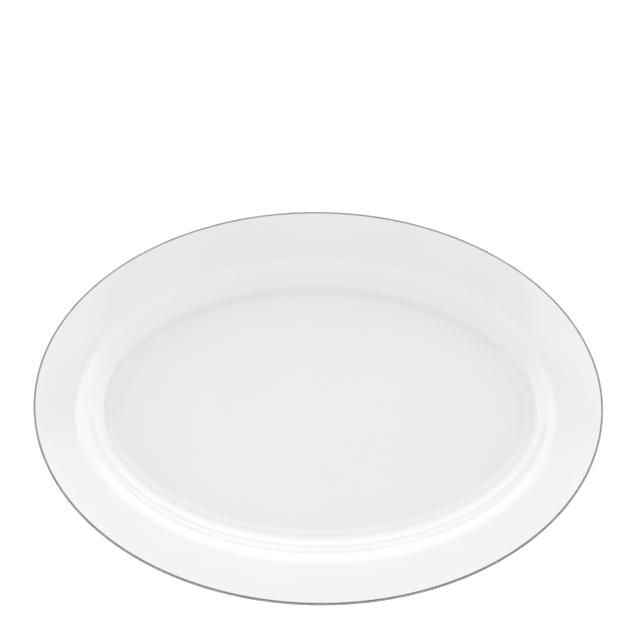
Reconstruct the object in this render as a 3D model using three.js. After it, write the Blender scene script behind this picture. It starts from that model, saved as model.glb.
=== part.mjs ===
// An oval china serving platter: one fired china body, the two coats of clear glaze that are fused
// to it, the fired platinum line round its lip, and a small printed mark inside the foot.
// Millimetres, +Z up, origin on the table under the middle, the long side along X.
//
// Every piece is a section swept round the oval. A section is a list of points (reach, height),
// where reach is the distance from the middle at the platter's ends, along X. Each point becomes
// one oval ring, and halfWidthAt(reach) is that ring's distance from the middle along Y.
import * as THREE from "three";

// Finished sizes, over glaze and platinum
const OVERALL_LENGTH = 356;
const OVERALL_WIDTH = 254;
const OVERALL_HEIGHT = 30;

// Face: a sloping flange runs from the lip to the shoulder, and a steeper wall from there to the well
const FLANGE_WIDTH = 29.5; // lip to the middle of the shoulder, in plan at the ends
const FLANGE_RISE = 7.8;
const WALL_WIDTH = 12.5; // shoulder to the corner of the well, in plan at the ends
const RIM_AT_SIDES = 44.8; // lip to the corner of the well, in plan at the long sides
const SHOULDER_RADIUS = 20;
const WELL_RADIUS = 17; // the hollow curve between the wall and the well's floor
const FLOOR_HEIGHT = 9.2; // the well's floor above the table

// Thickness of the fired body
const LIP_THICKNESS = 1.9;
const WALL_THICKNESS = 3.6;
const FLOOR_THICKNESS = 4.4;

// Foot ring
const FOOT_SETBACK = 6; // corner of the well to the foot's outer root, in plan at the ends
const FOOT_WIDTH = 5.4; // at the root
const FOOT_TAPER = 0.9; // how far each side leans in on its way down
const FOOT_ROOT_RADIUS = 1.6;
const FOOT_EDGE_RADIUS = 0.9;
const KEEL_RADIUS = 5; // under the wall, where it turns towards the foot

// Coats
const GLAZE_THICKNESS = 0.3;
const BARE_FOOT = 1.5; // height of the foot that is wiped clean of glaze before firing
const PLATINUM_THICKNESS = 0.1;
const PLATINUM_BOTTOM = THREE.MathUtils.degToRad(-40); // the line's lower end, as a turn round the lip

// Mark inside the foot
const MARK_LENGTH = 24;
const MARK_WIDTH = 17;
const MARK_LINE = 0.8;
const MARK_WAIST = 1.6; // how near the middle the star's sides are drawn
const MARK_TIP = THREE.MathUtils.degToRad(4); // half of a star point's turn where it meets the oval
const MARK_FILM = 0.1;

// Fineness
const STATIONS = 60; // round the oval
const ARC_STEP = THREE.MathUtils.degToRad(22.5);
const MARK_STEPS = 14; // along each quarter of the mark

const HALF_LENGTH = OVERALL_LENGTH / 2;
const HALF_WIDTH = OVERALL_WIDTH / 2;
const RIM_AT_ENDS = FLANGE_WIDTH + WALL_WIDTH;
const SIDE_SHARE = RIM_AT_SIDES / RIM_AT_ENDS;
const FOOT_REACH = HALF_LENGTH - RIM_AT_ENDS - FOOT_SETBACK;

// From the lip to just inside the foot the rings keep their spacing. Inside that the floor is flat,
// and the rings shrink in proportion to the middle.
const FLOOR_REACH = FOOT_REACH - FOOT_WIDTH - 2 * FOOT_ROOT_RADIUS;
const parallelHalfWidth = (reach) => HALF_WIDTH - SIDE_SHARE * (HALF_LENGTH - reach);
const halfWidthAt = (reach) =>
  reach > FLOOR_REACH
    ? parallelHalfWidth(reach)
    : (parallelHalfWidth(FLOOR_REACH) * reach) / FLOOR_REACH;

const point = (reach, height) => new THREE.Vector2(reach, height);

// The point where two lines cross, each given as a point and a direction.
function crossing(a, alongA, b, alongB) {
  const share = b.clone().sub(a).cross(alongB) / alongA.cross(alongB);
  return a.clone().addScaledVector(alongA, share);
}

const onCircle = (centre, radius, angle) =>
  point(centre.x + radius * Math.cos(angle), centre.y + radius * Math.sin(angle));

// Points on the arc of that centre and radius between two angles, both ends included.
function arc(centre, radius, from, to) {
  const steps = Math.ceil(Math.abs(to - from) / ARC_STEP);
  return Array.from({ length: steps + 1 }, (_, i) =>
    onCircle(centre, radius, from + ((to - from) * i) / steps),
  );
}

// The arc that rounds a corner of an outline with that radius.
function rounded(before, corner, after, radius) {
  const back = before.clone().sub(corner).normalize();
  const on = after.clone().sub(corner).normalize();
  const halfAngle = Math.acos(back.dot(on)) / 2;
  const middle = back.clone().add(on).normalize();
  const centre = corner.clone().addScaledVector(middle, radius / Math.sin(halfAngle));
  const start = corner.clone().addScaledVector(back, radius / Math.tan(halfAngle)).sub(centre);
  const end = corner.clone().addScaledVector(on, radius / Math.tan(halfAngle)).sub(centre);
  const turn = Math.atan2(start.cross(end), start.dot(end));
  return arc(centre, radius, start.angle(), start.angle() + turn);
}

// A run of points moved sideways by the same distance all along, to the left of the way it runs.
function coated(run, thickness) {
  return run.map((p, i) => {
    const sides = [];
    if (i > 0) sides.push(p.clone().sub(run[i - 1]).normalize());
    if (i + 1 < run.length) sides.push(run[i + 1].clone().sub(p).normalize());
    const along = sides[0].clone().add(sides.at(-1)).normalize();
    const left = point(-along.y, along.x);
    return p.clone().addScaledVector(left, thickness / along.dot(sides[0]));
  });
}

// The fired body's outline, from the middle of the face round the lip to the middle underneath.
// It comes back in stretches, because the coats cover some of them and not others.
function bodyOutline() {
  const skin = GLAZE_THICKNESS;
  const lipRadius = LIP_THICKNESS / 2;
  const lineRadius = lipRadius + skin + PLATINUM_THICKNESS;
  const lipCentre = point(HALF_LENGTH - lineRadius, OVERALL_HEIGHT - lineRadius);

  const floor = FLOOR_HEIGHT - skin;
  const shoulder = point(HALF_LENGTH - FLANGE_WIDTH, lipCentre.y + lipRadius - FLANGE_RISE);
  const wellCorner = point(HALF_LENGTH - RIM_AT_ENDS, floor);
  const middle = point(0, floor);

  // The flange runs from the shoulder to touch the lip's round from above.
  const toLip = lipCentre.clone().sub(shoulder);
  const lipSlope = toLip.angle() + Math.asin(lipRadius / toLip.length());
  const lipTop = lipSlope + Math.PI / 2;
  const flangeEnd = onCircle(lipCentre, lipRadius, lipTop);

  // Underneath, the wall keeps its thickness and the flange thins towards the lip.
  const wallSlope = shoulder.clone().sub(wellCorner).normalize();
  const wallOut = point(wallSlope.y, -wallSlope.x);
  const wallUnder = shoulder.clone().addScaledVector(wallOut, WALL_THICKNESS);
  const flangeUnder = shoulder
    .clone()
    .addScaledVector(point(Math.sin(lipSlope), -Math.cos(lipSlope)), WALL_THICKNESS);
  const lipUnder = lipTop - Math.PI;
  const flangeUnderEnd = onCircle(lipCentre, lipRadius, lipUnder);
  const flangeAlong = flangeUnderEnd.clone().sub(flangeUnder);
  const shoulderUnder = crossing(flangeUnder, flangeAlong, wallUnder, wallSlope);

  const under = floor - FLOOR_THICKNESS;
  const keel = crossing(wallUnder, wallSlope, point(0, under), point(1, 0));
  const outerRoot = point(FOOT_REACH, under);
  const outerEdge = point(FOOT_REACH - FOOT_TAPER, 0);
  const innerEdge = point(FOOT_REACH - FOOT_WIDTH + FOOT_TAPER, 0);
  const innerRoot = point(FOOT_REACH - FOOT_WIDTH, under);
  const middleUnder = point(0, under);

  const bareAt = (root, edge) => edge.clone().lerp(root, BARE_FOOT / under);
  return {
    face: [
      middle,
      point(FLOOR_REACH, floor),
      ...rounded(middle, wellCorner, shoulder, WELL_RADIUS),
      ...rounded(wellCorner, shoulder, flangeEnd, SHOULDER_RADIUS),
    ],
    lip: arc(lipCentre, lipRadius, lipTop, PLATINUM_BOTTOM),
    back: [
      flangeUnderEnd,
      ...rounded(flangeUnderEnd, shoulderUnder, keel, SHOULDER_RADIUS - WALL_THICKNESS),
      ...rounded(shoulderUnder, keel, outerRoot, KEEL_RADIUS),
      ...rounded(keel, outerRoot, outerEdge, FOOT_ROOT_RADIUS),
      bareAt(outerRoot, outerEdge),
    ],
    foot: [
      ...rounded(outerRoot, outerEdge, innerEdge, FOOT_EDGE_RADIUS),
      ...rounded(outerEdge, innerEdge, innerRoot, FOOT_EDGE_RADIUS),
    ],
    recess: [
      bareAt(innerRoot, innerEdge),
      ...rounded(innerEdge, innerRoot, middleUnder, FOOT_ROOT_RADIUS),
      point(FLOOR_REACH, under),
      middleUnder,
    ],
  };
}

// A closed surface from a section swept round the oval. Each patch between two rings is split along
// the diagonal that starts on the outer ring, whichever way the section runs, so that two pieces
// which share a stretch of outline share its faces too.
function swept(section) {
  const positions = section.flatMap((p) =>
    Array.from({ length: STATIONS }, (_, i) => {
      const turn = (2 * Math.PI * i) / STATIONS;
      return [p.x * Math.cos(turn), halfWidthAt(p.x) * Math.sin(turn), p.y];
    }),
  );
  const faces = [];
  for (let j = 0; j + 1 < section.length; j++) {
    const [a, b] = [section[j], section[j + 1]];
    const firstIsOuter = a.x > b.x || (a.x === b.x && a.y > b.y);
    for (let i = 0; i < STATIONS; i++) {
      const next = (i + 1) % STATIONS;
      const [a0, a1] = [j * STATIONS + i, j * STATIONS + next];
      const [b0, b1] = [a0 + STATIONS, a1 + STATIONS];
      const patch = firstIsOuter ? [[a0, b0, a1], [a1, b0, b1]] : [[a0, b0, b1], [a0, b1, a1]];
      // A ring of no reach is a single point, and half of each patch beside it has no area.
      faces.push(...patch.filter((face) => !(a.x === 0 && face.includes(a0) && face.includes(a1))
        && !(b.x === 0 && face.includes(b0) && face.includes(b1))));
    }
  }
  const geometry = new THREE.BufferGeometry();
  geometry.setAttribute("position", new THREE.Float32BufferAttribute(positions.flat(), 3));
  geometry.setIndex(faces.flat());
  geometry.computeVertexNormals();
  return geometry;
}

function piece(name, geometry, material) {
  const mesh = new THREE.Mesh(geometry, new THREE.MeshStandardMaterial(material));
  mesh.name = name;
  return mesh;
}

const BISQUE = { color: 0xebe7df, roughness: 0.8, metalness: 0 };
const GLAZED_WHITE = { color: 0xf1f2f2, roughness: 0.08, metalness: 0 };
const PLATINUM = { color: 0x91908d, roughness: 0.22, metalness: 1 };
const GREY_INK = { color: 0x7d8286, roughness: 0.4, metalness: 0 };

const { face, lip, back, foot, recess } = bodyOutline();

const chinaBody = () =>
  piece("china_body", swept([...face, ...lip, ...back, ...foot, ...recess]), BISQUE);

// One coat runs unbroken over the face, round the lip and down underneath to the bare foot.
const wrapped = [...face, ...lip, ...back];
const wrappedSurface = coated(wrapped, GLAZE_THICKNESS);

const faceGlaze = () =>
  piece("face_glaze", swept([...wrappedSurface, ...wrapped.toReversed()]), GLAZED_WHITE);

const recessSurface = coated(recess, GLAZE_THICKNESS);

const recessGlaze = () =>
  piece("recess_glaze", swept([...recess.toReversed(), ...recessSurface]), GLAZED_WHITE);

// The line sits on the glaze's own points round the lip.
function platinumLine() {
  const seat = wrappedSurface.slice(face.length, face.length + lip.length);
  const top = coated(seat, PLATINUM_THICKNESS);
  return piece("platinum_line", swept([...top, ...seat.toReversed(), top[0]]), PLATINUM);
}

// A plain oval with a four-pointed star in it, printed as one film: an oval plate with four openings.
function undersideMark() {
  const oval = new THREE.Shape();
  oval.absellipse(0, 0, MARK_LENGTH / 2, MARK_WIDTH / 2, 0, 2 * Math.PI);
  const [along, across] = [MARK_LENGTH / 2 - MARK_LINE, MARK_WIDTH / 2 - MARK_LINE];
  for (let quarter = 0; quarter < 4; quarter++) {
    const from = (quarter * Math.PI) / 2 + MARK_TIP;
    const to = ((quarter + 1) * Math.PI) / 2 - MARK_TIP;
    const waist = point(MARK_WAIST, 0).rotateAround(point(0, 0), (from + to) / 2);
    const opening = new THREE.Path();
    opening.absellipse(0, 0, along, across, from, to, false);
    const start = opening.getPoint(0);
    opening.quadraticCurveTo(waist.x, waist.y, start.x, start.y);
    oval.holes.push(opening);
  }
  const film = { depth: MARK_FILM, bevelEnabled: false, curveSegments: MARK_STEPS };
  const mark = piece("underside_mark", new THREE.ExtrudeGeometry(oval, film), GREY_INK);
  mark.position.z = recessSurface.at(-1).y - MARK_FILM;
  return mark;
}

export default new THREE.Group().add(
  chinaBody(),
  faceGlaze(),
  recessGlaze(),
  platinumLine(),
  undersideMark(),
);
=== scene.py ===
"""An oval china serving platter on a pale studio floor: glazed china with a fired platinum line.

The fired body is one ring of edges, extruded and resized from the middle of the well out to the lip
and back underneath. The coats of glaze and the platinum line are lifted off its surface, so that
each lies on the piece below it. Metres, +Z up, the long side along X.
"""
import math

import bpy
from mathutils import Matrix, Vector


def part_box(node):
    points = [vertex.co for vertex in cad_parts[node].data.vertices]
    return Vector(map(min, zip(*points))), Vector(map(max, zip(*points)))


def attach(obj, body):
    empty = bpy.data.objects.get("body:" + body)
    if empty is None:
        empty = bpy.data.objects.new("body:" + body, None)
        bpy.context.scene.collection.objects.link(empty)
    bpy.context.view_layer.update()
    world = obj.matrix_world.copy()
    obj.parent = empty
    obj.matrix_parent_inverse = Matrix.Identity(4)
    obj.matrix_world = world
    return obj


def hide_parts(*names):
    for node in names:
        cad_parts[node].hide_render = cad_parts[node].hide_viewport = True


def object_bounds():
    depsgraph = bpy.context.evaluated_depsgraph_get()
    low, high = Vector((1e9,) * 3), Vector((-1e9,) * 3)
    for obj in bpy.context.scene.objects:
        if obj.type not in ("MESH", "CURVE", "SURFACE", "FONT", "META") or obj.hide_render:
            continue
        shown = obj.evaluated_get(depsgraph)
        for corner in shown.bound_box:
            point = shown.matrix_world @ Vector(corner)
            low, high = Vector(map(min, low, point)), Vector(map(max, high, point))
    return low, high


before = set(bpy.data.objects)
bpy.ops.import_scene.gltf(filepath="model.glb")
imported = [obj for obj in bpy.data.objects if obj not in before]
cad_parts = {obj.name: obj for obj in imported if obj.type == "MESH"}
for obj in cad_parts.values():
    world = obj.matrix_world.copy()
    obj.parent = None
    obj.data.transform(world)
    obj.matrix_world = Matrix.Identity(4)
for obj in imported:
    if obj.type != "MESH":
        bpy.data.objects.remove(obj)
cad_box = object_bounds()

MM = 0.001
DEGREE = math.pi / 180

# The platter's limits, and those of its fired body and coats, from the frame
OUTER = cad_box[1]
BODY_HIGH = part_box("china_body")[1]
COAT_LOW, COAT_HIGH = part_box("face_glaze")
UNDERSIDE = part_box("recess_glaze")[1].z  # of the body, inside the foot ring
GLAZE_THICKNESS = COAT_HIGH.z - BODY_HIGH.z
BARE_FOOT = COAT_LOW.z  # height of the foot that is wiped clean of glaze

# Face
FLANGE_WIDTH = 29.5 * MM  # lip to the middle of the shoulder, in plan at the ends
FLANGE_RISE = 7.8 * MM
FLANGE_BOW = 0.25 * MM  # how far the middle of the flange stands above a straight line
WALL_WIDTH = 12.5 * MM  # shoulder to the corner of the well, in plan at the ends
RIM_AT_SIDES = 44.8 * MM  # lip to the corner of the well, in plan at the long sides
SHOULDER_RADIUS = 20 * MM
WELL_RADIUS = 17 * MM

# Thickness of the fired body
LIP_THICKNESS = 1.9 * MM
WALL_THICKNESS = 3.6 * MM
FLOOR_THICKNESS = 4.4 * MM

# Foot ring
FOOT_SETBACK = 6 * MM  # corner of the well to the foot's outer root
FOOT_WIDTH = 5.4 * MM
FOOT_TAPER = 0.9 * MM
FOOT_ROOT_RADIUS = 1.6 * MM
FOOT_EDGE_RADIUS = 0.9 * MM
KEEL_RADIUS = 5 * MM
GLAZE_TAPER = 1.4 * MM  # the coats thin out over this height above the bare foot
GLAZE_EDGE = 0.25  # to this share of their thickness

# Platinum line
LINE_WIDTH = 1.74 * MM  # from the outer edge in over the lip, in plan
LINE_BOTTOM = -40 * DEGREE  # how far the surface at its lower edge leans from facing straight outwards
LINE_THICKNESS = 0.04 * MM

# Fineness
STATIONS = 96  # round the oval, before the surface is subdivided once
ARC_STEP = 15 * DEGREE
LONGEST_STRETCH = 4 * MM
FLOOR_RINGS = 5  # from the edge of each flat in to the middle
REACH_HALVINGS = 16  # in the search for the ring that a spot is on
SHARP_EDGE = 40 * DEGREE  # a sharper turn than this stays crisp

# Camera
CAMERA_RISE = 75.5 * DEGREE
CAMERA_DISTANCE = 1.995
CAMERA_ROLL = 0.8 * DEGREE
CAMERA_LENS = 180
AIM_ABOVE = 52.9 * MM  # how far above the middle of the lip the camera aims, upwards in its view
AIM_RIGHT = 0.3 * MM
SENSOR_WIDTH = 36

# Finishes: tones
WHITE = (1, 1, 1, 1)
GLAZE_TONE = (0.75, 0.75, 0.75, 1)
GLAZE_OTHER_TONE = (0.741, 0.742, 0.742, 1)
# A darker tone for the corner round the well: glaze gathered there, and painted shade.
GATHERED_GLAZE_AND_SHADE_TONE = (0.73, 0.732, 0.732, 1)
BARE_TONE = (0.8, 0.785, 0.75, 1)
RUBBED_TONE = (0.66, 0.65, 0.625, 1)
SPECK_TONE = (0.42, 0.38, 0.33, 1)
PLATINUM_TONE = (0.34, 0.338, 0.331, 1)
PLATINUM_OTHER_TONE = (0.29, 0.289, 0.285, 1)
INK_TONE = (0.2, 0.215, 0.23, 1)
INK_OTHER_TONE = (0.27, 0.285, 0.3, 1)

# Finishes: the size of each unevenness, the roughness at its two ends, and the clear glaze
NOISE_SPAN = (0.3, 0.7)  # nearly all of the noise lies between these
PATCH_SPAN = (0.35, 0.65)  # and the patches of a tone pass into the other's over this
SAG_SIZE = (60 * MM, 60 * MM, 60 * MM)
RIDGE_SIZE = (90 * MM, 90 * MM, 2.4 * MM)
STROKE_SIZE = (12 * MM, 12 * MM, 0.12 * MM)
GLAZE_ROUGHNESS = (0.045, 0.075)
BARE_ROUGHNESS = (0.62, 0.8)
PLATINUM_ROUGHNESS = (0.17, 0.32)
INK_ROUGHNESS = (0.2, 0.34)
GLAZE_IOR = 1.65
GATHERED_AND_SHADED_FROM = (0.4 * MM, 1.2 * MM)  # where the gathered glaze and the painted shade in the well's corner start, above the floor of the well
GATHERED_AND_SHADED_TO = (1.6 * MM, 4.5 * MM)  # and where that ends
SPECK_UNDER_GLAZE = 0.3  # how much of a speck's tone shows through the glaze

# Ground that the platter stands on
GROUND_RADIUS = 8
GROUND_TONE = (0.9, 0.9, 0.9, 1)
GROUND_ROUGHNESS = 0.9
GROUND_GLOW = 0.5

# Light tent: how bright each of its four sides is (level) at a height above the horizon (degrees)
TENT_BEHIND = (
    (0, 2.28), (36, 1.98), (38, 1.04), (53, 0.72), (61, 1.38), (67, 1.38), (71, 0.63), (90, 0.53),
)
TENT_RIGHT = (
    (0, 1.65), (25, 1.87), (45, 1.92), (50, 0.35), (61, 0.35), (68, 0.9), (76, 0.85), (90, 0.53),
)
TENT_LEFT = ((0, 1.9), (28, 2.05), (34, 0.95), (61, 0.7), (68, 1.35), (76, 1.05), (90, 0.53))
TENT_IN_FRONT = (
    (0, 0.96), (15, 1.27), (50, 1.27), (62, 0.68), (67, 0.48), (72, 0.35), (78, 0.35), (90, 0.53),
)
BEHIND_REACH = (30, 55)  # degrees from the way a side faces, where its light starts and ends fading
SIDE_REACH = (20, 38)
TENT_TURN = 13 * DEGREE  # how far the left and right sides are turned towards the back
BACKGROUND = 1.1  # the tent as the camera sees it


# ---------------------------------------------------------------- outline of the fired body

RIM_AT_ENDS = FLANGE_WIDTH + WALL_WIDTH
SIDE_SHARE = RIM_AT_SIDES / RIM_AT_ENDS
FOOT_REACH = OUTER.x - RIM_AT_ENDS - FOOT_SETBACK
FLOOR_REACH = FOOT_REACH - FOOT_WIDTH - 2 * FOOT_ROOT_RADIUS


def half_width_at(reach):
    """Where the ring that crosses X at this distance from the middle crosses Y."""
    parallel = OUTER.y - SIDE_SHARE * (OUTER.x - max(reach, FLOOR_REACH))
    return parallel * min(reach / FLOOR_REACH, 1)


def reach_of(spot):
    """The reach of the ring that a spot is on, seen from above."""
    low, high = 0, OUTER.x
    for _ in range(REACH_HALVINGS):
        middle = (low + high) / 2
        if math.hypot(spot.x / middle, spot.y / half_width_at(middle)) > 1:
            low = middle
        else:
            high = middle
    return high


def point(reach, height):
    return Vector((reach, height))


def crossing(a, along_a, b, along_b):
    """The point where two lines cross, each given as a point and a direction."""
    share = (b - a).cross(along_b) / along_a.cross(along_b)
    return a + along_a * share


def on_circle(centre, radius, angle):
    return centre + point(math.cos(angle), math.sin(angle)) * radius


def arc(centre, radius, start, end):
    steps = math.ceil(abs(end - start) / ARC_STEP)
    return [on_circle(centre, radius, start + (end - start) * i / steps) for i in range(steps + 1)]


def rounded(before, corner, after, radius):
    """The arc that rounds a corner of an outline with that radius."""
    back = (before - corner).normalized()
    on = (after - corner).normalized()
    half_angle = back.angle(on) / 2
    centre = corner + (back + on).normalized() * (radius / math.sin(half_angle))
    start = corner + back * (radius / math.tan(half_angle)) - centre
    end = corner + on * (radius / math.tan(half_angle)) - centre
    first = math.atan2(start.y, start.x)
    turn = math.atan2(start.cross(end), start.dot(end))
    return arc(centre, radius, first, first + turn)


def in_steps(start, end):
    """Points on the straight line from one to the other, without the first."""
    pieces = math.ceil((end - start).length / LONGEST_STRETCH)
    return [start.lerp(end, (i + 1) / pieces) for i in range(pieces)]


def filled_in(outline):
    """The same outline with its long straight stretches cut into short ones."""
    points = [outline[0]]
    for end in outline[1:]:
        points += in_steps(points[-1], end)
    return points


def bowed(start, end, bow):
    """Points between two others on a shallow arch, without its ends."""
    points = in_steps(start, end)[:-1]
    for i, spot in enumerate(points):
        share = (i + 1) / (len(points) + 1)
        spot.y += bow * 4 * share * (1 - share)
    return points


def body_outline():
    """Points (reach, height) from the floor of the well out over the lip and in under the floor."""
    lip_radius = LIP_THICKNESS / 2
    lip = point(BODY_HIGH.x - lip_radius, BODY_HIGH.z - lip_radius)
    floor = UNDERSIDE + FLOOR_THICKNESS
    floor_edge = point(FLOOR_REACH, floor)
    shoulder = point(OUTER.x - FLANGE_WIDTH, BODY_HIGH.z - FLANGE_RISE)
    well_corner = point(OUTER.x - RIM_AT_ENDS, floor)

    # The flange runs from the shoulder to touch the lip's round from above.
    to_lip = lip - shoulder
    slope = math.atan2(to_lip.y, to_lip.x) + math.asin(lip_radius / to_lip.length)
    lip_top = slope + math.pi / 2
    lip_under = lip_top - math.pi
    flange_end = on_circle(lip, lip_radius, lip_top)
    flange_under_end = on_circle(lip, lip_radius, lip_under)

    # Underneath, the wall keeps its thickness and the flange thins towards the lip.
    wall = (shoulder - well_corner).normalized()
    wall_under = shoulder + point(wall.y, -wall.x) * WALL_THICKNESS
    flange_under = shoulder + point(math.sin(slope), -math.cos(slope)) * WALL_THICKNESS
    shoulder_under = crossing(flange_under, flange_under_end - flange_under, wall_under, wall)
    keel = crossing(wall_under, wall, point(0, UNDERSIDE), point(1, 0))

    outer_root = point(FOOT_REACH, UNDERSIDE)
    outer_edge = point(FOOT_REACH - FOOT_TAPER, 0)
    inner_edge = point(FOOT_REACH - FOOT_WIDTH + FOOT_TAPER, 0)
    inner_root = point(FOOT_REACH - FOOT_WIDTH, UNDERSIDE)
    under_edge = point(FLOOR_REACH, UNDERSIDE)
    bare = BARE_FOOT / UNDERSIDE
    round_shoulder = rounded(well_corner, shoulder, flange_end, SHOULDER_RADIUS)
    return filled_in([
        floor_edge,
        *rounded(floor_edge, well_corner, shoulder, WELL_RADIUS),
        *round_shoulder,
        *bowed(round_shoulder[-1], flange_end, FLANGE_BOW),
        *arc(lip, lip_radius, lip_top, lip_under),
        *rounded(flange_under_end, shoulder_under, keel, SHOULDER_RADIUS - WALL_THICKNESS),
        *rounded(shoulder_under, keel, outer_root, KEEL_RADIUS),
        *rounded(keel, outer_root, outer_edge, FOOT_ROOT_RADIUS),
        outer_edge.lerp(outer_root, bare),
        *rounded(outer_root, outer_edge, inner_edge, FOOT_EDGE_RADIUS),
        *rounded(outer_edge, inner_edge, inner_root, FOOT_EDGE_RADIUS),
        inner_edge.lerp(inner_root, bare),
        *rounded(inner_edge, inner_root, under_edge, FOOT_ROOT_RADIUS),
        under_edge,
    ])


# ---------------------------------------------------------------- modelling

# One subdivision pulls a ring of so many stations in to this share of its size.
KEPT_SIZE = (3 + math.cos(2 * math.pi / STATIONS)) / 4


def alone(piece):
    bpy.ops.object.select_all(action="DESELECT")
    piece.select_set(True)
    bpy.context.view_layer.objects.active = piece


def extrude_to(start, end):
    """Extrudes the selected ring of edges to the next ring."""
    widening = half_width_at(end.x) / half_width_at(start.x)
    bpy.ops.mesh.extrude_region_move()
    bpy.ops.transform.resize(value=(end.x / start.x, widening, 1), center_override=(0, 0, 0))
    bpy.ops.transform.translate(value=(0, 0, end.y - start.y))


def close_at_middle(ring):
    """Extrudes the selected ring across the flat to the middle."""
    rings = [point(ring.x * share / FLOOR_RINGS, ring.y) for share in range(FLOOR_RINGS, 0, -1)]
    for start, end in zip(rings, rings[1:]):
        extrude_to(start, end)
    bpy.ops.mesh.extrude_region_move()
    bpy.ops.mesh.merge(type="CENTER")


def apply(piece, kind, **settings):
    modifier = piece.modifiers.new(kind, kind)
    for name, value in settings.items():
        setattr(modifier, name, value)
    alone(piece)
    bpy.ops.object.modifier_apply(modifier=modifier.name)


def fired_body():
    outline = body_outline()
    bpy.ops.object.select_all(action="DESELECT")
    bpy.ops.mesh.primitive_circle_add(vertices=STATIONS, radius=1)
    body = bpy.context.object
    body.name = "fired_body"
    bpy.ops.object.mode_set(mode="EDIT")
    bpy.ops.mesh.select_mode(type="EDGE")
    bpy.ops.mesh.select_all(action="SELECT")
    first, last = outline[0], outline[-1]
    size = (first.x / KEPT_SIZE, half_width_at(first.x) / KEPT_SIZE, 1)
    bpy.ops.transform.resize(value=size, center_override=(0, 0, 0))
    bpy.ops.transform.translate(value=(0, 0, first.y))
    for start, end in zip(outline, outline[1:]):
        extrude_to(start, end)
    close_at_middle(last)
    bpy.ops.mesh.select_all(action="DESELECT")
    bpy.ops.object.mode_set(mode="OBJECT")
    for vertex in body.data.vertices[:STATIONS]:
        vertex.select = True
    bpy.ops.object.mode_set(mode="EDIT")
    close_at_middle(first)
    bpy.ops.mesh.select_all(action="SELECT")
    bpy.ops.mesh.normals_make_consistent(inside=False)
    bpy.ops.object.mode_set(mode="OBJECT")
    apply(body, "SUBSURF", levels=1, render_levels=1)
    bpy.ops.object.shade_smooth()
    return body


def lifted(source, name, wanted):
    """A copy of a piece's faces that pass the test, as an open sheet of its own."""
    alone(source)
    bpy.ops.object.mode_set(mode="EDIT")
    bpy.ops.mesh.select_mode(type="FACE")
    bpy.ops.mesh.select_all(action="DESELECT")
    bpy.ops.object.mode_set(mode="OBJECT")
    for face in source.data.polygons:
        face.select = wanted(face)
    bpy.ops.object.mode_set(mode="EDIT")
    bpy.ops.mesh.duplicate()
    bpy.ops.mesh.separate(type="SELECTED")
    bpy.ops.object.mode_set(mode="OBJECT")
    sheet = next(o for o in bpy.context.selected_objects if o != source)
    sheet.name = name
    return sheet


def coat_thickness(sheet):
    """Weighs the sheet's vertices so that the coat thins out towards the bare foot."""
    group = sheet.vertex_groups.new(name="thickness")
    for vertex in sheet.data.vertices:
        above = (vertex.co.z - BARE_FOOT) / GLAZE_TAPER
        group.add([vertex.index], min(1, GLAZE_EDGE + max(0, above) * (1 - GLAZE_EDGE)), "REPLACE")
    return group.name


def glaze_coat(body, name, wanted):
    coat = lifted(body, name, wanted)
    settings = {
        "thickness": GLAZE_THICKNESS,
        "offset": 1,
        "use_even_offset": True,
        "vertex_group": coat_thickness(coat),
    }
    apply(coat, "SOLIDIFY", **settings)
    coat.vertex_groups.clear()
    bpy.ops.object.shade_smooth_by_angle(angle=SHARP_EDGE)
    return coat


def over_the_foot(face):
    """Faces of the body above the bare foot, on the face or outside the foot ring."""
    outside = reach_of(face.center) > FOOT_REACH - FOOT_WIDTH / 2
    return face.center.z > UNDERSIDE + FLOOR_THICKNESS / 2 or (
        outside and face.center.z > BARE_FOOT)


def inside_the_foot(face):
    return face.center.z > BARE_FOOT and not over_the_foot(face)


def round_the_lip(face):
    """Faces on the outside of the coat from the top of the lip round to the line's lower edge."""
    near_edge = reach_of(face.center) > OUTER.x - LINE_WIDTH
    on_top = face.center.z > BODY_HIGH.z
    outwards = face.normal.xy.dot(face.center.xy) > 0
    return near_edge and (on_top or outwards and face.normal.z > math.sin(LINE_BOTTOM))


def platinum_line(coat):
    line = lifted(coat, "fired_platinum_line", round_the_lip)
    apply(line, "SOLIDIFY", thickness=LINE_THICKNESS, offset=1, use_even_offset=True)
    bpy.ops.object.shade_smooth_by_angle(angle=SHARP_EDGE)
    return line


# ---------------------------------------------------------------- finishes


def feed(tree, socket, value):
    """Gives a socket a number, a colour or another node's output."""
    if isinstance(value, bpy.types.NodeSocket):
        tree.links.new(value, socket)
    else:
        socket.default_value = value


def fill(tree, sockets, values):
    for socket, value in zip(sockets, values):
        feed(tree, socket, value)


def feed_named(tree, node, inputs):
    """Feeds a node's inputs, named with _ for a space."""
    for name, value in inputs.items():
        feed(tree, node.inputs[name.replace("_", " ")], value)


def add_node(tree, kind, **inputs):
    node = tree.nodes.new("ShaderNode" + kind)
    feed_named(tree, node, inputs)
    return node


def math_node(tree, operation, *values):
    node = add_node(tree, "Math")
    node.operation = operation
    fill(tree, node.inputs, values)
    return node.outputs["Value"]


def vector_math(tree, operation, *values):
    node = add_node(tree, "VectorMath")
    node.operation = operation
    fill(tree, node.inputs, values)
    return node.outputs["Vector"]


def mix(tree, share, first, second):
    node = add_node(tree, "Mix")
    node.data_type = "RGBA"
    fill(tree, [s for s in node.inputs if s.enabled], (share, first, second))
    return next(s for s in node.outputs if s.enabled)


def between(tree, value, low, high, to_low=0, to_high=1):
    """The value carried over smoothly from one range to another and held at its ends."""
    node = add_node(tree, "MapRange", Value=value, From_Min=low, From_Max=high)
    node.interpolation_type = "SMOOTHSTEP"
    node.inputs["To Min"].default_value = to_low
    node.inputs["To Max"].default_value = to_high
    return node.outputs["Result"]


def noise(tree, spots, detail=2):
    return add_node(tree, "TexNoise", Vector=spots, Scale=1, Detail=detail).outputs["Fac"]


def roughness(tree, unevenness, limits):
    """Roughness that follows an unevenness between two limits."""
    return between(tree, unevenness, *NOISE_SPAN, *limits)


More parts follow.
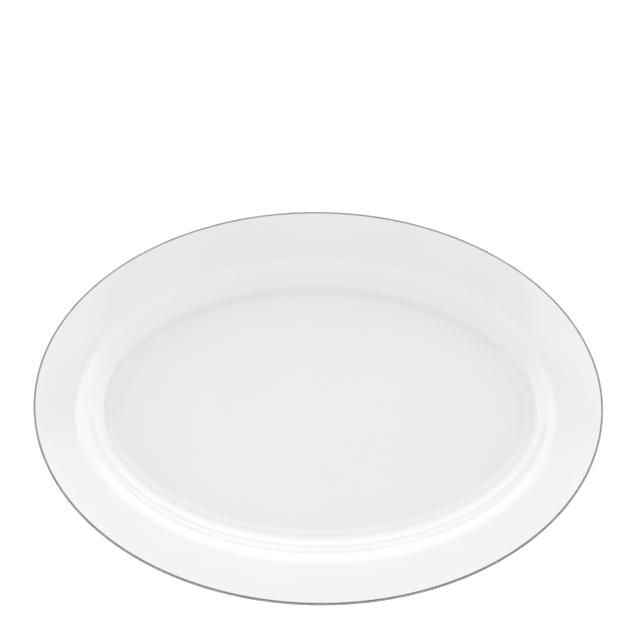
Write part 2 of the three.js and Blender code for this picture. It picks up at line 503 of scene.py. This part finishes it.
def scaled(tree, size):
    """Spots on the piece, counted in units of a size, which may differ along X, Y and Z."""
    spots = add_node(tree, "TexCoord").outputs["Object"]
    return vector_math(tree, "DIVIDE", spots, size)


def bump(tree, height, depth, below=None):
    node = add_node(tree, "Bump", Height=height, Distance=depth)
    if below:
        tree.links.new(below, node.inputs["Normal"])
    return node.outputs["Normal"]


def new_group(name, inputs, outputs):
    """A node group, with its input and output sockets by name."""
    group = bpy.data.node_groups.new(name, "ShaderNodeTree")
    for label, kind in inputs.items():
        group.interface.new_socket(label, in_out="INPUT", socket_type="NodeSocket" + kind)
    for label, kind in outputs.items():
        group.interface.new_socket(label, in_out="OUTPUT", socket_type="NodeSocket" + kind)
    given = group.nodes.new("NodeGroupInput").outputs
    result = group.nodes.new("NodeGroupOutput").inputs
    return group, given, result


def use(tree, group, **inputs):
    node = add_node(tree, "Group")
    node.node_tree = group
    feed_named(tree, node, inputs)
    return node.outputs


def mottle_group():
    """Two tones in soft patches of a given size."""
    inputs = {"Tone": "Color", "Other Tone": "Color", "Patch Size": "Float"}
    group, given, result = new_group("mottle", inputs, {"Tone": "Color"})
    patches = noise(group, scaled(group, given["Patch Size"]), detail=4)
    share = between(group, patches, *PATCH_SPAN)
    group.links.new(mix(group, share, given["Tone"], given["Other Tone"]), result["Tone"])
    return group


def relief_group():
    """Broad sag, faint ridges that run level round the platter, and fine grain, one on the other."""
    inputs = {"Sag": "Float", "Ridges": "Float", "Grain": "Float", "Grain Size": "Float"}
    group, given, result = new_group("relief", inputs, {"Normal": "Vector", "Sag": "Float"})
    sag = noise(group, scaled(group, SAG_SIZE))
    ridges = noise(group, scaled(group, RIDGE_SIZE))
    grain = noise(group, scaled(group, given["Grain Size"]))
    sagged = bump(group, sag, given["Sag"])
    ridged = bump(group, ridges, given["Ridges"], sagged)
    group.links.new(bump(group, grain, given["Grain"], ridged), result["Normal"])
    group.links.new(sag, result["Sag"])
    return group


def speck_group():
    """Sparse round specks: 1 in the middle of each and 0 outside it."""
    inputs = {"Spacing": "Float", "Radius": "Float"}
    group, given, result = new_group("specks", inputs, {"Speck": "Float"})
    nearest = add_node(group, "TexVoronoi", Vector=scaled(group, given["Spacing"]), Scale=1)
    away = math_node(group, "MULTIPLY", nearest.outputs["Distance"], given["Spacing"])
    share = math_node(group, "DIVIDE", away, given["Radius"])
    group.links.new(between(group, share, 0.5, 1, 1, 0), result["Speck"])
    return group


def new_finish(name):
    material = bpy.data.materials.new(name)
    material.use_nodes = True
    return material, material.node_tree, material.node_tree.nodes["Principled BSDF"].inputs


def glazed_china(mottle, relief, specks):
    """Clear gloss over neutral white china, darker in a ring round the corner of the well: partly glaze
    gathered there, partly painted shade.
    """
    material, tree, shader = new_finish("glazed_china")
    tones = use(tree, mottle, Tone=GLAZE_TONE, Other_Tone=GLAZE_OTHER_TONE, Patch_Size=45 * MM)
    spots = add_node(tree, "TexCoord").outputs["Object"]
    height = add_node(tree, "SeparateXYZ", Vector=spots).outputs["Z"]
    floor = UNDERSIDE + FLOOR_THICKNESS
    # Painted shade, together with gathered glaze, in a ring just above the floor of the well.
    started = between(tree, height, *(floor + rise for rise in GATHERED_AND_SHADED_FROM))
    ended = between(tree, height, *(floor + rise for rise in GATHERED_AND_SHADED_TO), 1, 0)
    gathered_and_shaded = math_node(tree, "MULTIPLY", started, ended)
    speck = use(tree, specks, Spacing=17 * MM, Radius=0.4 * MM)["Speck"]
    tone = mix(tree, gathered_and_shaded, tones["Tone"], GATHERED_GLAZE_AND_SHADE_TONE)
    faint_speck = math_node(tree, "MULTIPLY", speck, SPECK_UNDER_GLAZE)
    feed(tree, shader["Base Color"], mix(tree, faint_speck, tone, SPECK_TONE))
    surface = use(tree, relief, Sag=0.3 * MM, Ridges=0.01 * MM, Grain=0.0006 * MM, Grain_Size=1.8 * MM)
    feed(tree, shader["Normal"], bump(tree, speck, 0.01 * MM, surface["Normal"]))
    feed(tree, shader["Roughness"], roughness(tree, surface["Sag"], GLAZE_ROUGHNESS))
    shader["IOR"].default_value = GLAZE_IOR
    return material


def bare_china(mottle, relief, specks):
    """Fired china without glaze: matt, warm, and rubbed grey where it has slid on tables."""
    material, tree, shader = new_finish("bare_china")
    tones = use(tree, mottle, Tone=BARE_TONE, Other_Tone=RUBBED_TONE, Patch_Size=7 * MM)
    speck = use(tree, specks, Spacing=3 * MM, Radius=0.25 * MM)["Speck"]
    feed(tree, shader["Base Color"], mix(tree, speck, tones["Tone"], SPECK_TONE))
    surface = use(tree, relief, Sag=0.1 * MM, Ridges=0.02 * MM, Grain=0.03 * MM, Grain_Size=0.25 * MM)
    feed(tree, shader["Normal"], surface["Normal"])
    feed(tree, shader["Roughness"], roughness(tree, surface["Sag"], BARE_ROUGHNESS))
    return material


def fired_platinum(mottle, relief):
    """Bright metal brushed on round the lip, thin and a little uneven along its strokes."""
    material, tree, shader = new_finish("fired_platinum")
    tones = use(tree, mottle, Tone=PLATINUM_TONE, Other_Tone=PLATINUM_OTHER_TONE, Patch_Size=9 * MM)
    feed(tree, shader["Base Color"], tones["Tone"])
    shader["Metallic"].default_value = 1
    strokes = noise(tree, scaled(tree, STROKE_SIZE))
    feed(tree, shader["Roughness"], roughness(tree, strokes, PLATINUM_ROUGHNESS))
    surface = use(tree, relief, Sag=0.1 * MM, Ridges=0.004 * MM, Grain=0.002 * MM, Grain_Size=0.4 * MM)
    feed(tree, shader["Normal"], bump(tree, strokes, 0.004 * MM, surface["Normal"]))
    return material


def printed_grey(mottle, relief, specks):
    """Grey print under a thin glaze, with paler grain and a few pinholes."""
    material, tree, shader = new_finish("printed_grey")
    tones = use(tree, mottle, Tone=INK_TONE, Other_Tone=INK_OTHER_TONE, Patch_Size=0.5 * MM)
    pinhole = use(tree, specks, Spacing=1.2 * MM, Radius=0.12 * MM)["Speck"]
    feed(tree, shader["Base Color"], mix(tree, pinhole, tones["Tone"], GLAZE_TONE))
    surface = use(tree, relief, Sag=0.1 * MM, Ridges=0.004 * MM, Grain=0.002 * MM, Grain_Size=0.3 * MM)
    feed(tree, shader["Normal"], surface["Normal"])
    feed(tree, shader["Roughness"], roughness(tree, surface["Sag"], INK_ROUGHNESS))
    return material


def give(piece, material):
    piece.data.materials.clear()
    piece.data.materials.append(material)


# ---------------------------------------------------------------- studio


def studio_floor():
    bpy.ops.object.select_all(action="DESELECT")
    bpy.ops.mesh.primitive_circle_add(vertices=STATIONS, radius=GROUND_RADIUS, fill_type="NGON")
    floor = bpy.context.object
    floor.name = "studio_floor"
    material, _, shader = new_finish("pale_floor")
    shader["Base Color"].default_value = GROUND_TONE
    shader["Roughness"].default_value = GROUND_ROUGHNESS
    shader["Specular IOR Level"].default_value = 0
    shader["Emission Color"].default_value = WHITE
    shader["Emission Strength"].default_value = GROUND_GLOW
    give(floor, material)


def tent_level(tree, height, levels):
    """How bright a side of the tent is at each height above the horizon."""
    brightest = max(level for _, level in levels)
    ramp = add_node(tree, "ValToRGB", Fac=height)
    stops = ramp.color_ramp.elements
    while len(stops) < len(levels):
        stops.new(1)
    for stop, (angle, level) in zip(stops, levels):
        stop.position = angle / 90
        stop.color = (*[level / brightest] * 3, 1)
    return math_node(tree, "MULTIPLY", ramp.outputs["Color"], brightest)


def tent_share(tree, heading, towards, reach):
    """A side's share in the light from a heading: 1 near the way it faces and 0 well away from that."""
    facing = add_node(tree, "VectorMath")
    facing.operation = "DOT_PRODUCT"
    fill(tree, facing.inputs, (heading, towards))
    full, faded_out = (math.cos(angle * DEGREE) for angle in reach)
    return between(tree, facing.outputs["Value"], faded_out, full)


def soft_light():
    """A white tent all round, with a bright panel behind the platter and one at each side."""
    world = bpy.data.worlds.new("light_tent")
    world.use_nodes = True
    bpy.context.scene.world = world
    tree = world.node_tree
    tree.nodes.clear()
    direction = add_node(tree, "TexCoord").outputs["Generated"]
    rise = math_node(tree, "ARCSINE", add_node(tree, "SeparateXYZ", Vector=direction).outputs["Z"])
    height = math_node(tree, "DIVIDE", rise, math.pi / 2)
    heading = vector_math(tree, "NORMALIZE", vector_math(tree, "MULTIPLY", direction, (1, 1, 0)))
    across, back = math.cos(TENT_TURN), math.sin(TENT_TURN)
    level = tent_level(tree, height, TENT_IN_FRONT)
    for towards, reach, levels in (
        ((0, 1, 0), BEHIND_REACH, TENT_BEHIND),
        ((across, back, 0), SIDE_REACH, TENT_RIGHT),
        ((-across, back, 0), SIDE_REACH, TENT_LEFT),
    ):
        more = math_node(tree, "SUBTRACT", tent_level(tree, height, levels), level)
        share = tent_share(tree, heading, towards, reach)
        level = math_node(tree, "MULTIPLY_ADD", share, more, level)
    lit = add_node(tree, "Background", Color=WHITE, Strength=level)
    seen = add_node(tree, "Background", Color=WHITE, Strength=BACKGROUND)
    camera_ray = add_node(tree, "LightPath").outputs["Is Camera Ray"]
    shown = add_node(tree, "MixShader", Fac=camera_ray)
    tree.links.new(lit.outputs[0], shown.inputs[1])
    tree.links.new(seen.outputs[0], shown.inputs[2])
    add_node(tree, "OutputWorld", Surface=shown.outputs[0])


def camera():
    target = Vector((0, 0, BODY_HIGH.z))
    back = Vector((0, -math.cos(CAMERA_RISE), math.sin(CAMERA_RISE)))
    up = Vector((0, math.sin(CAMERA_RISE), math.cos(CAMERA_RISE)))
    stand = target + back * CAMERA_DISTANCE
    aim = target + up * AIM_ABOVE + Vector((AIM_RIGHT, 0, 0))
    bpy.ops.object.camera_add(location=stand)
    made = bpy.context.object
    made.name = "studio_camera"
    made.data.lens = CAMERA_LENS
    made.data.sensor_width = SENSOR_WIDTH
    level = (aim - stand).to_track_quat("-Z", "Y").to_matrix()
    made.rotation_euler = (level @ Matrix.Rotation(CAMERA_ROLL, 3, "Z")).to_euler()
    bpy.context.scene.camera = made


# ---------------------------------------------------------------- the platter

body = fired_body()
face_coat = glaze_coat(body, "face_coat", over_the_foot)
recess_coat = glaze_coat(body, "recess_coat", inside_the_foot)
line = platinum_line(face_coat)
mottle, relief, specks = mottle_group(), relief_group(), speck_group()
china = glazed_china(mottle, relief, specks)
for piece, node, slot, material in (
    (body, "china_body", "bisque_china", bare_china(mottle, relief, specks)),
    (face_coat, "face_glaze", "clear_glaze", china),
    (recess_coat, "recess_glaze", "clear_glaze", china),
    (line, "platinum_line", "platinum", fired_platinum(mottle, relief)),
):
    give(piece, material)
    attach(piece, "root")
    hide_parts(node)
give(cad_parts["underside_mark"], printed_grey(mottle, relief, specks))

studio_floor()
soft_light()
camera()
bpy.context.scene.view_settings.view_transform = "Standard"
